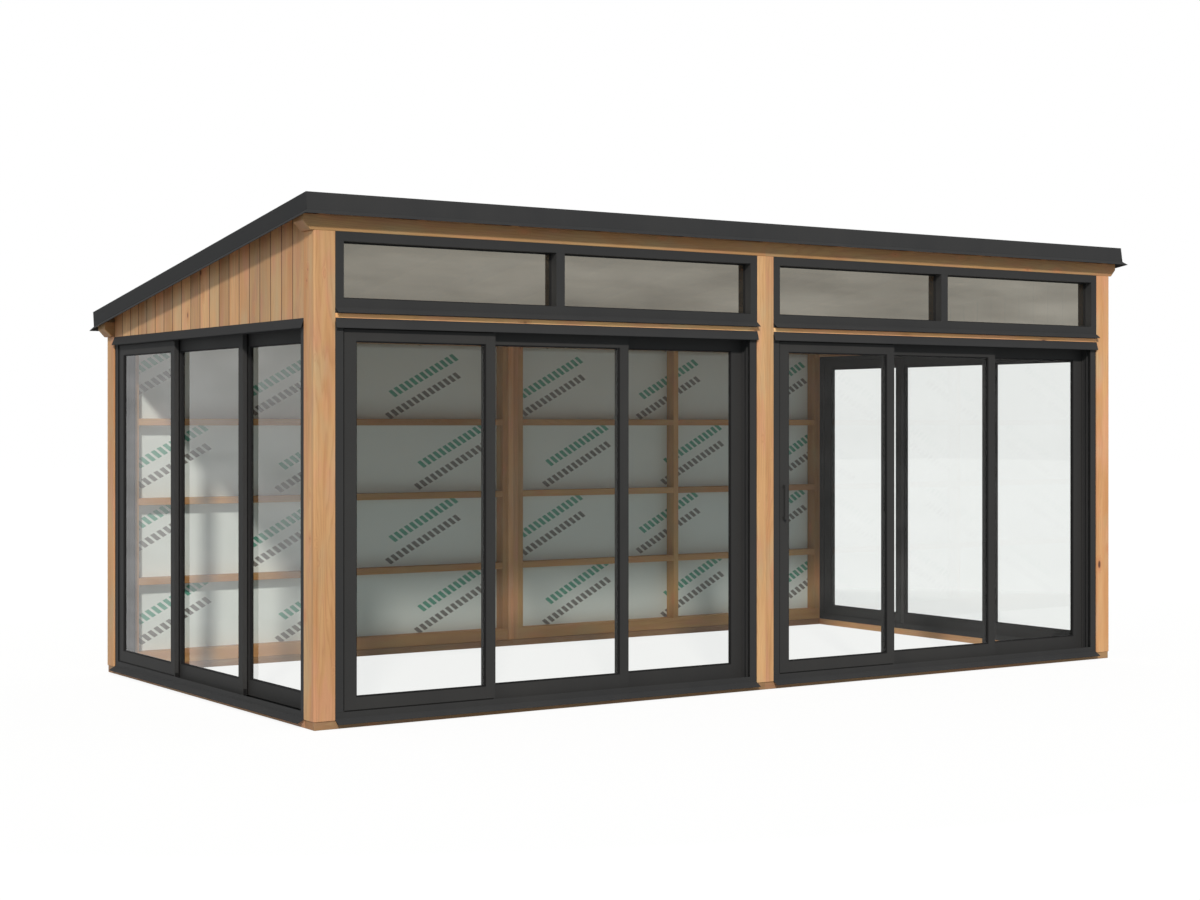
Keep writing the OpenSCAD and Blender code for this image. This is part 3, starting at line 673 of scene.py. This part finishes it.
# %% Sweep a bead round an opening
def bead_rings(openings, thin, faces_of_pane, rise):
    """Points and faces of mitred rings on both sides of panes. thin is the axis through them,
    rise is how far the bead stands off the glass."""
    along = 1 - thin
    # how far in from the sash, how high over the glass
    profile = [(0.0, rise), (0.0032, rise), (0.0062, rise * 0.55), (0.0082, 0.0003)]
    points, faces = [], []
    for (low, high), side in [(opening, side) for opening in openings for side in (0, 1)]:
        out = (-1, 1)[side]
        start = len(points)
        for step, height in profile:
            for a, b in ((0, 0), (1, 0), (1, 1), (0, 1)):
                p = [0.0, 0.0, 0.0]
                p[along] = low[along] + step if a == 0 else high[along] - step
                p[2] = low[2] + step if b == 0 else high[2] - step
                p[thin] = faces_of_pane[side] + out * height
                points.append(p)
        for ring in range(start, start + 4 * (len(profile) - 1), 4):
            for c in range(4):
                d = (c + 1) % 4
                quad = [ring + c, ring + d, ring + 4 + d, ring + 4 + c]
                faces.append(quad if (side == 0) == (thin == 1) else quad[::-1])
    return points, faces


sample = bead_rings([((0, 0, 0), (1, 0, 1))], 1, (0, 0), 0.01)
print("a bead on both sides of one pane has", len(sample[1]), "faces")

# %% [markdown]
# The panes stand twelve millimetres deep in their sashes, so the opening that shows is that
# much smaller than the pane all round. Each bead belongs to the body of its own door and slides
# with it.

# %% Beads on the doors
GLASS_BITE = 0.012  # how deep the pane stands in its sash
DOOR_BEAD, TOP_BEAD = 0.0085, 0.0060
beads = []
for unit in UNITS:
    along, thin = axes(unit)
    inset = Vector((GLASS_BITE, GLASS_BITE, GLASS_BITE))
    inset[thin] = 0.0
    for track in ("outer", "middle", "inner"):
        low, high = corners(f"{unit}_{track}_glass")
        rings = bead_rings([(low + inset, high - inset)], thin, (low[thin], high[thin]),
                           DOOR_BEAD)
        beads.append(mesh_piece(f"{unit}_{track}_beads", *rings, black_rubber,
                                f"{unit}_{track}_door", "sash_metal"))
print("beads on sliding doors:", len(beads))

# %% [markdown]
# A top light is fixed, so its beads stay with the building. Each frame has two openings beside
# one mullion, and its lower bar is taller than the others because it carries the sill. All four
# openings share one piece.

# %% Beads on the top lights
BAR, MULLION, TOP_SILL, OVERLAP = 0.050, 0.056, 0.078, 0.0003
low, high = corners("toplight_panes")
openings = []
for hand in ("left", "right"):
    near, far = corners(f"{hand}_toplight_frame")
    middle, bar = (near.x + far.x) / 2, BAR - OVERLAP
    for x0, x1 in ((near.x + bar, middle - MULLION / 2), (middle + MULLION / 2, far.x - bar)):
        openings.append((Vector((x0, 0, near.z + TOP_SILL)), Vector((x1, 0, far.z - BAR))))
mesh_piece("toplight_beads", *bead_rings(openings, 1, (low.y, high.y), TOP_BEAD), black_rubber,
           "building", "frame_metal")
print("top light openings with a bead:", len(openings))

# %% [markdown]
# ## Brushes and plugs between the sashes
#
# A brush of stiff black pile closes the slit between two sashes. It sits in a groove on the
# hidden face of the stile in front and nearly touches the sash behind. At the foot of that
# stile a moulded plug closes the hollow end of the profile. The hairs are too short and dense
# to be told apart, so a block with its edges cut off does for a brush, and for a plug as well.

# %% Blocks
def block_points(low, high, cut):
    """A block with its four upright edges cut off, as 16 points and 10 faces."""
    x0, y0, z0 = low
    x1, y1, z1 = high
    plan = [(x0 + cut, y0), (x1 - cut, y0), (x1, y0 + cut), (x1, y1 - cut),
            (x1 - cut, y1), (x0 + cut, y1), (x0, y1 - cut), (x0, y0 + cut)]
    points = [(x, y, z) for z in (z0, z1) for x, y in plan]
    faces = [[i, (i + 1) % 8, 8 + (i + 1) % 8, 8 + i] for i in range(8)]
    return points, faces + [list(range(7, -1, -1)), list(range(8, 16))]


def joined(blocks):
    points, faces = [], []
    for block, sides in blocks:
        start = len(points)
        points += block
        faces += [[start + i for i in side] for side in sides]
    return points, faces


print("a block has", len(block_points((0, 0, 0), (1, 1, 1), 0.1)[1]), "faces")

# %% [markdown]
# Only the outer and the middle sash of a unit carry a brush, each on the stile that lies over
# the next sash. Which end that is, and which way is inwards, depends on the side of the
# building, so two small tables say it for each unit.

# %% Brushes and plugs on the stiles
RIGHT_HAND = {"front_left": 1, "front_right": 1, "left": -1, "right": 1}  # seen from outside
INWARD = {"front_left": 1, "front_right": 1, "left": 1, "right": -1}
SASH_THICK, STILE_WALL = 0.026, 0.003
BRUSH_REACH, BRUSH_W, BRUSH_INSET, BRUSH_CUT = 0.0075, 0.006, 0.006, 0.0012
BRUSH_FOOT, BRUSH_HEAD = 0.02, 0.03  # how far it stops short of the stile's ends
PLUG_H, PLUG_OUT, PLUG_LIFT, PLUG_CUT = 0.034, 0.0025, 0.008, 0.001
stile_pieces = []
for unit, track in [(unit, track) for unit in UNITS for track in ("outer", "middle")]:
    along, thin = axes(unit)
    right, inward = RIGHT_HAND[unit], INWARD[unit]
    low, high = corners(f"{unit}_{track}_sash")
    back_face = high[thin] if inward > 0 else low[thin]
    front_face = back_face - inward * SASH_THICK
    end = high[along] if right > 0 else low[along]
    a, b = low.copy(), high.copy()
    a[thin], b[thin] = sorted((back_face, back_face + inward * BRUSH_REACH))
    a[along], b[along] = sorted((end - right * BRUSH_INSET,
                                 end - right * (BRUSH_INSET + BRUSH_W)))
    a[2], b[2] = low[2] + BRUSH_FOOT, high[2] - BRUSH_HEAD
    stile_pieces.append(mesh_piece(f"{unit}_{track}_brush", *block_points(a, b, BRUSH_CUT),
                                   brush_pile, f"{unit}_{track}_door", "sash_metal"))
    a[thin], b[thin] = sorted((front_face + inward * STILE_WALL, back_face - inward * STILE_WALL))
    a[along], b[along] = sorted((end, end + right * PLUG_OUT))
    a[2], b[2] = low[2] + PLUG_LIFT, low[2] + PLUG_LIFT + PLUG_H
    stile_pieces.append(mesh_piece(f"{unit}_{track}_plug", *block_points(a, b, PLUG_CUT),
                                   black_rubber, f"{unit}_{track}_door", "sash_metal"))
print("brushes and plugs:", len(stile_pieces))

# %% [markdown]
# ## Brushes at the lips of the door frames
#
# The slit between a lip of the frame and the sash behind it is closed the same way: with pile
# in both side lips, and with pile on the rails of the outer and the inner sash. The side
# brushes stay with the building. The rail brushes ride with their sashes, because a sash takes
# them along when it slides. The pile stands a few millimetres out past each lip, so it draws
# a black line there: partly the seal, partly painted shade for the shadow in the slit.

# %% Lip and rail brushes
SIDE_LIP, SILL_LIP, HEAD_LIP, LIP_THICK = 0.050, 0.040, 0.033, 0.002
# painted shade: the part of the black pile that stands past the lip draws the shadow line of the
# slit
GAP, PILE, SHOW, HIDDEN = 0.005, 0.004, 0.006, 0.004  # gap to the sash, and parts of the pile
EDGE_CUT, RAIL_INSET, OFF_LIP = 0.0004, 0.014, 0.0003
STRIP_FOOT, STRIP_HEAD = 0.05, 0.04
lip_pieces = []
for unit in UNITS:
    along, thin = axes(unit)
    low, high = corners(f"{unit}_frame")
    outer_side, inner_side = (high, low) if unit == "right" else (low, high)
    strips = []
    for track, side in (("outer", outer_side), ("inner", inner_side)):
        inward = 1 if side is low else -1
        lip = side[thin] + inward * LIP_THICK
        for edge, way in ((low[along], 1), (high[along], -1)):
            a, b = Vector((0, 0, low.z + STRIP_FOOT)), Vector((0, 0, high.z - STRIP_HEAD))
            a[along], b[along] = sorted((edge + way * (SIDE_LIP - HIDDEN),
                                         edge + way * (SIDE_LIP + SHOW)))
            a[thin], b[thin] = sorted((lip + inward * OFF_LIP, lip + inward * PILE))
            strips.append(block_points(a, b, EDGE_CUT))
        near, far = corners(f"{unit}_{track}_sash")
        rails = []
        for z0, z1 in ((low.z + SILL_LIP - HIDDEN, low.z + SILL_LIP + SHOW),
                       (high.z - HEAD_LIP - SHOW, high.z - HEAD_LIP + HIDDEN)):
            a, b = Vector((0, 0, z0)), Vector((0, 0, z1))
            a[along], b[along] = near[along] + RAIL_INSET, far[along] - RAIL_INSET
            a[thin], b[thin] = sorted((lip + inward * (GAP - PILE), lip + inward * GAP))
            rails.append(block_points(a, b, EDGE_CUT))
        lip_pieces.append(mesh_piece(f"{unit}_{track}_rail_brushes", *joined(rails), brush_pile,
                                     f"{unit}_{track}_door", "sash_metal"))
    lip_pieces.append(mesh_piece(f"{unit}_lip_brushes_and_shade_line", *joined(strips), brush_pile, "building",
                                 "frame_metal"))
print("brush pieces at the lips:", len(lip_pieces))

# %% [markdown]
# ## The wind membrane
#
# The membrane is a thin white spun sheet, stapled to the back of the studs before the boards go
# on. Such sheets carry a repeated print. Here it is a plain pattern of slanting dashes, a green
# row above a grey one, set out in two staggered ranks. It is worked out like the other
# finishes: a point is folded back into one step of the print, and tested against each row.

# %% Rows of dashes
GREEN, GREY = (0.028, 0.325, 0.215), (0.12, 0.112, 0.105)
PRINT_ANGLE = math.radians(28.0)
PRINT_STEP = (1.07, 1.02)
DASH_SLANT, DASH_SHARE = 0.45, 0.62


def both(tree, first, second):
    return calc(tree, "MULTIPLY", first, second)


def dash_rows(tree, x, z, middle, length, height, dashes):
    """1 inside one slanting row of dashes, repeated over the wall, else 0. middle is the middle
    of one row, dashes is how many stand in it."""
    u, v = (calc(tree, "WRAP", calc(tree, "SUBTRACT", place, at), step / 2, -step / 2)
            for place, at, step in zip((x, z), middle, PRINT_STEP))
    c, s = math.cos(PRINT_ANGLE), math.sin(PRINT_ANGLE)
    run = calc(tree, "ADD", calc(tree, "MULTIPLY", u, c), calc(tree, "MULTIPLY", v, s))
    up = calc(tree, "SUBTRACT", calc(tree, "MULTIPLY", v, c), calc(tree, "MULTIPLY", u, s))
    slant = calc(tree, "MULTIPLY_ADD", up, DASH_SLANT, calc(tree, "ADD", run, length / 2))
    place = calc(tree, "MULTIPLY", slant, dashes / length)
    in_row = calc(tree, "LESS_THAN", calc(tree, "ABSOLUTE", up), height / 2)
    in_run = both(tree, calc(tree, "GREATER_THAN", place, 0.0),
                  calc(tree, "LESS_THAN", place, float(dashes)))
    in_dash = calc(tree, "LESS_THAN", calc(tree, "FRACT", place), DASH_SHARE)
    return both(tree, both(tree, in_row, in_run), in_dash)


print("the print comes back every", PRINT_STEP[0], "m along and", PRINT_STEP[1], "m up")

# %% [markdown]
# The sheet itself is spun from white fibres. Close by, it has a fine web that also breaks up
# the ink, so the dashes look printed and not cut out. Faint stains and long shallow folds keep
# it from looking flat.

# %% Membrane finish
SPUN_LOW, SPUN_HIGH, STAIN = (0.732, 0.813, 0.795), (0.83, 0.905, 0.888), (0.60, 0.63, 0.60)
RANKS = ((-0.65, 0.885), (-0.42, 0.385))  # where the two ranks of the print begin
# colour, shift from the rank, length, height and number of dashes
ROWS = ((GREEN, (-0.027, 0.051), 0.60, 0.062, 13), (GREY, (-0.030, -0.092), 0.66, 0.055, 14))


def spun_sheet(name):
    made, tree, skin = new_finish(name)
    where = here(tree)
    x, y, z = split(tree, where)
    weave = noise(tree, where, (600.0, 600.0, 260.0), 2.0)
    web = noise(tree, where, 34.0, 4.0, 0.7)
    stain = calc(tree, "MULTIPLY", noise(tree, where, 1.7), 0.16)
    colour = blend(tree, stain, blend(tree, weave, SPUN_LOW, SPUN_HIGH), STAIN)
    ink = calc(tree, "MULTIPLY_ADD", web, 0.3, 0.72, clamp=True)
    for rank_x, rank_z in RANKS:
        for tint, (shift_x, shift_z), length, height, dashes in ROWS:
            row = dash_rows(tree, x, z, (rank_x + shift_x, rank_z + shift_z), length, height,
                            dashes)
            colour = blend(tree, both(tree, row, ink), colour, tint)
    fine = relief(tree, weave, 0.4, 0.0003)
    folds = relief(tree, noise(tree, where, (5.0, 5.0, 0.9), 2.0), 0.25, 0.006, under=fine)
    lay_on(tree, skin, colour, calc(tree, "MULTIPLY_ADD", web, 0.2, 0.62), folds)
    return told(made)


membrane_finish = spun_sheet("wind_membrane")

# %% [markdown]
# The sheet is drawn tight over the studs and noggins and bellies a few millimetres into each
# field between them. A cloth simulation would find that shape too, but it has to be run again
# for every change. A grid whose points are moved by a rule is quicker and always the same.

# %% How far a sheet is free
def free_share(value, timbers_at, half):
    """0 on a timber, rising to 1 in the middle of the field between two timbers."""
    spans = sorted(timbers_at)
    for a, b in zip(spans, spans[1:]):
        if a <= value <= b:
            room = max(b - a - 2 * half, 0.001)
            share = (value - a - half) / room
            return math.sin(math.pi * min(max(share, 0.0), 1.0)) ** 0.8
    return 0.0


for value in (0.1, 0.3, 0.5):
    print("free at", value, "of a field:", round(free_share(value, (0.0, 1.0), 0.05), 2))

# %% [markdown]
# Each bay between two posts has a sheet of its own. It reaches from the sill to the top plate,
# and is held by a stud at each end and one in the middle, and by three rows of noggins.
# A thickness is given to the finished grid, so both of its faces bend alike.

# %% Hang the two sheets
STUD_W, RAIL_H = 0.045, 0.082
SHEET_THICK, SHEET_AT, BELLY = 0.0006, 0.0012, 0.006
HELD = STUD_W / 2 + 0.012  # half of the strip that a timber holds flat
ACROSS, UP = 84, 64
sheet_low, sheet_high = corners("back_membrane")
first_noggin = corners("back_noggins")[0].z + STUD_W / 2
noggins_at = [first_noggin + k * NOGGIN_STEP for k in range(3)]
levels = [sheet_low.z + RAIL_H - STUD_W / 2, *noggins_at, sheet_high.z + STUD_W / 2]


def hang(name, x0, x1):
    """One bay's sheet: flat on the timbers, bellied by some millimetres between them."""
    studs_at = [x0 + STUD_W / 2, (x0 + x1) / 2, x1 - STUD_W / 2]
    points = []
    for j in range(UP + 1):
        for i in range(ACROSS + 1):
            x = x0 + (x1 - x0) * i / ACROSS
            z = sheet_low.z + (sheet_high.z - sheet_low.z) * j / UP
            free = free_share(x, studs_at, HELD) * free_share(z, levels, HELD)
            waves = 0.65 + 0.35 * math.sin(7.3 * x + 1.9 * z) * math.cos(3.1 * z - 2.3 * x)
            points.append((x, sheet_low.y + SHEET_AT - BELLY * free * waves, z))
    row = ACROSS + 1
    faces = [[k, k + 1, k + row + 1, k + row] for j in range(UP)
             for k in range(j * row, j * row + ACROSS)]
    piece = mesh_piece(name, points, faces, membrane_finish, "building", "membrane")
    for face in piece.data.polygons:
        face.use_smooth = True
    body = piece.modifiers.new("thickness", "SOLIDIFY")
    body.thickness = SHEET_THICK
    body.offset = 0.0
    return piece


left_sheet = hang("left_membrane", sheet_low.x, -REAR_POST_HALF)
right_sheet = hang("right_membrane", REAR_POST_HALF, sheet_high.x)
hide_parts("back_membrane")
print("sheets:", left_sheet.name, right_sheet.name)
print("noggins at:", [round(height, 3) for height in noggins_at])

# %% [markdown]
# ## The ground
#
# The building stands on a pale floor that fades to the white of the backdrop. A white floor
# under a lamp would throw its light up under the eaves, so the floor has two faces. To the eye
# it is nearly white, with the shadow kept faint on it. The light that it sends back to the
# building is that of pale grey paving. Blender can tell the two apart, because every ray of
# light knows whether it ends in the eye, has met a mirror or has passed through a pane.

# %% What is in sight
def in_sight(tree):
    """1 where the eye, a mirror or a pane looks, 0 for the light between surfaces."""
    sight = put(tree, "LightPath")
    beside = calc(tree, "MAXIMUM", sight.outputs["Is Glossy Ray"],
                  sight.outputs["Is Transmission Ray"])
    return calc(tree, "MAXIMUM", sight.outputs["Is Camera Ray"], beside)


print("the floor and the sky both ask:", in_sight.__name__)

# %% [markdown]
# Under the roof the paving is a little paler and cooler than outside. From four and a half
# metres out the floor fades into the backdrop, so no horizon shows.

# %% Floor finish
ROOM_HALF = (2.9, 1.45)
FADE_FROM, FADE_OVER, GLOW = 4.5, 3.0, 0.85
floor_finish, tree, skin = new_finish("pale_floor")
where = here(tree)
x, y, z = split(tree, where)
indoors = both(tree, calc(tree, "LESS_THAN", calc(tree, "ABSOLUTE", x), ROOM_HALF[0]),
               calc(tree, "LESS_THAN", calc(tree, "ABSOLUTE", y), ROOM_HALF[1]))
seen = in_sight(tree)
paving = blend(tree, indoors, (0.45, 0.45, 0.45), (0.55, 0.63, 0.65))
lay_on(tree, skin, blend(tree, seen, paving, (0.92, 0.92, 0.92)), 0.9, gloss=0.1)
far = calc3(tree, "LENGTH", calc3(tree, "MULTIPLY", where, (1.0, 1.3, 0.0)))
fade = calc(tree, "MULTIPLY", calc(tree, "SUBTRACT", far, FADE_FROM), 1 / FADE_OVER, clamp=True)
white = put(tree, "Emission", Color=(1.0, 1.0, 1.0), Strength=1.05)
ground = put(tree, "MixShader", Fac=both(tree, calc(tree, "MAXIMUM", fade, GLOW), seen))
tree.links.new(skin.outputs[0], ground.inputs[1])
tree.links.new(white.outputs[0], ground.inputs[2])
tree.links.new(ground.outputs[0], tree.nodes["Material Output"].inputs["Surface"])
print("the floor is plain white from", FADE_FROM + FADE_OVER, "m out")

# %% [markdown]
# One large square is enough for the floor. It lies a millimetre under the sills, so that the
# two never share a face, and it belongs to the stage and not to the building.

# %% Lay the floor
FLOOR_HALF, FLOOR_DROP = 60.0, 0.001
floor_corners = [(x * FLOOR_HALF, y * FLOOR_HALF, 0)
                 for x, y in ((-1, -1), (1, -1), (1, 1), (-1, 1))]
floor_mesh = bpy.data.meshes.new("floor")
floor_mesh.from_pydata(floor_corners, [], [[0, 1, 2, 3]])
floor_mesh.materials.append(floor_finish)
floor = bpy.data.objects.new("floor", floor_mesh)
floor.location.z = -FLOOR_DROP
bpy.context.scene.collection.objects.link(floor)
print("floor:", 2 * FLOOR_HALF, "m across and", 1000 * FLOOR_DROP, "mm under the sills")

# %% [markdown]
# ## Sky and sun
#
# An even, slightly cool sky fills the shadows. The eye sees plain white in its place, so the
# backdrop is white and adds no light to the building. One soft sun comes from the left of the
# front, high enough to lay the eaves' shadow on the plate.

# %% Sky
SKY_COLOUR, SKY_STRENGTH = (0.87, 0.97, 1.0), 0.41
world = bpy.data.worlds.new("studio")
bpy.context.scene.world = world
world.use_nodes = True
tree = world.node_tree
backdrop = tree.nodes["Background"]
backdrop.inputs["Color"].default_value = (1, 1, 1, 1)
backdrop.inputs["Strength"].default_value = 1.0
sky = put(tree, "Background", Color=SKY_COLOUR, Strength=SKY_STRENGTH)
around = put(tree, "MixShader", Fac=in_sight(tree))
tree.links.new(sky.outputs[0], around.inputs[1])
tree.links.new(backdrop.outputs[0], around.inputs[2])
tree.links.new(around.outputs[0], tree.nodes["World Output"].inputs["Surface"])
print("the sky lights at", SKY_STRENGTH, "of the backdrop's white")

# %% [markdown]
# A sun lamp's light is parallel, so only its turning matters and not its place. Its angle is
# some eight times the real sun's, which softens the edges of shadows as thin cloud does.

# %% Sun
SUNLIGHT_TRAVELS = Vector((0.441, 0.725, -0.529))
lamp = bpy.data.lights.new("sun", "SUN")
lamp.energy = 2.5
lamp.angle = math.radians(4.0)
lamp.color = (1.0, 0.93, 0.855)
sun = bpy.data.objects.new("sun", lamp)
bpy.context.scene.collection.objects.link(sun)
sun.rotation_euler = SUNLIGHT_TRAVELS.to_track_quat("-Z", "Y").to_euler()
height = math.atan2(-SUNLIGHT_TRAVELS.z, SUNLIGHT_TRAVELS.xy.length)
print("the sun stands", round(math.degrees(height)), "degrees high")

# %% [markdown]
# ## Camera
#
# The eye stands at head height in front of the left corner, far enough away that the roof runs
# back gently. The camera looks level, so the posts stay upright, and a small shift, instead of
# a tilt, sets the building in the middle of the frame. Nothing is out of focus.

# %% Camera
EYE = (-7.6327, -11.1609, 1.6013)
TURN = math.radians(-33.7186)
view = bpy.data.cameras.new("camera")
view.sensor_width = 36.0
view.lens = 60.807
view.shift_y = -0.02107
camera = bpy.data.objects.new("camera", view)
camera.location = EYE
camera.rotation_euler = (math.radians(90), 0, TURN)
bpy.context.scene.collection.objects.link(camera)
bpy.context.scene.camera = camera
bpy.context.scene.view_settings.view_transform = "Standard"
print("eye", round(EYE[2], 2), "m high, lens", round(view.lens, 1), "mm")

# %% [markdown]
# ## Sizes
#
# The dressed building has to stay within the box of its solids.

# %% Bring the scene up to date
bpy.context.view_layer.update()
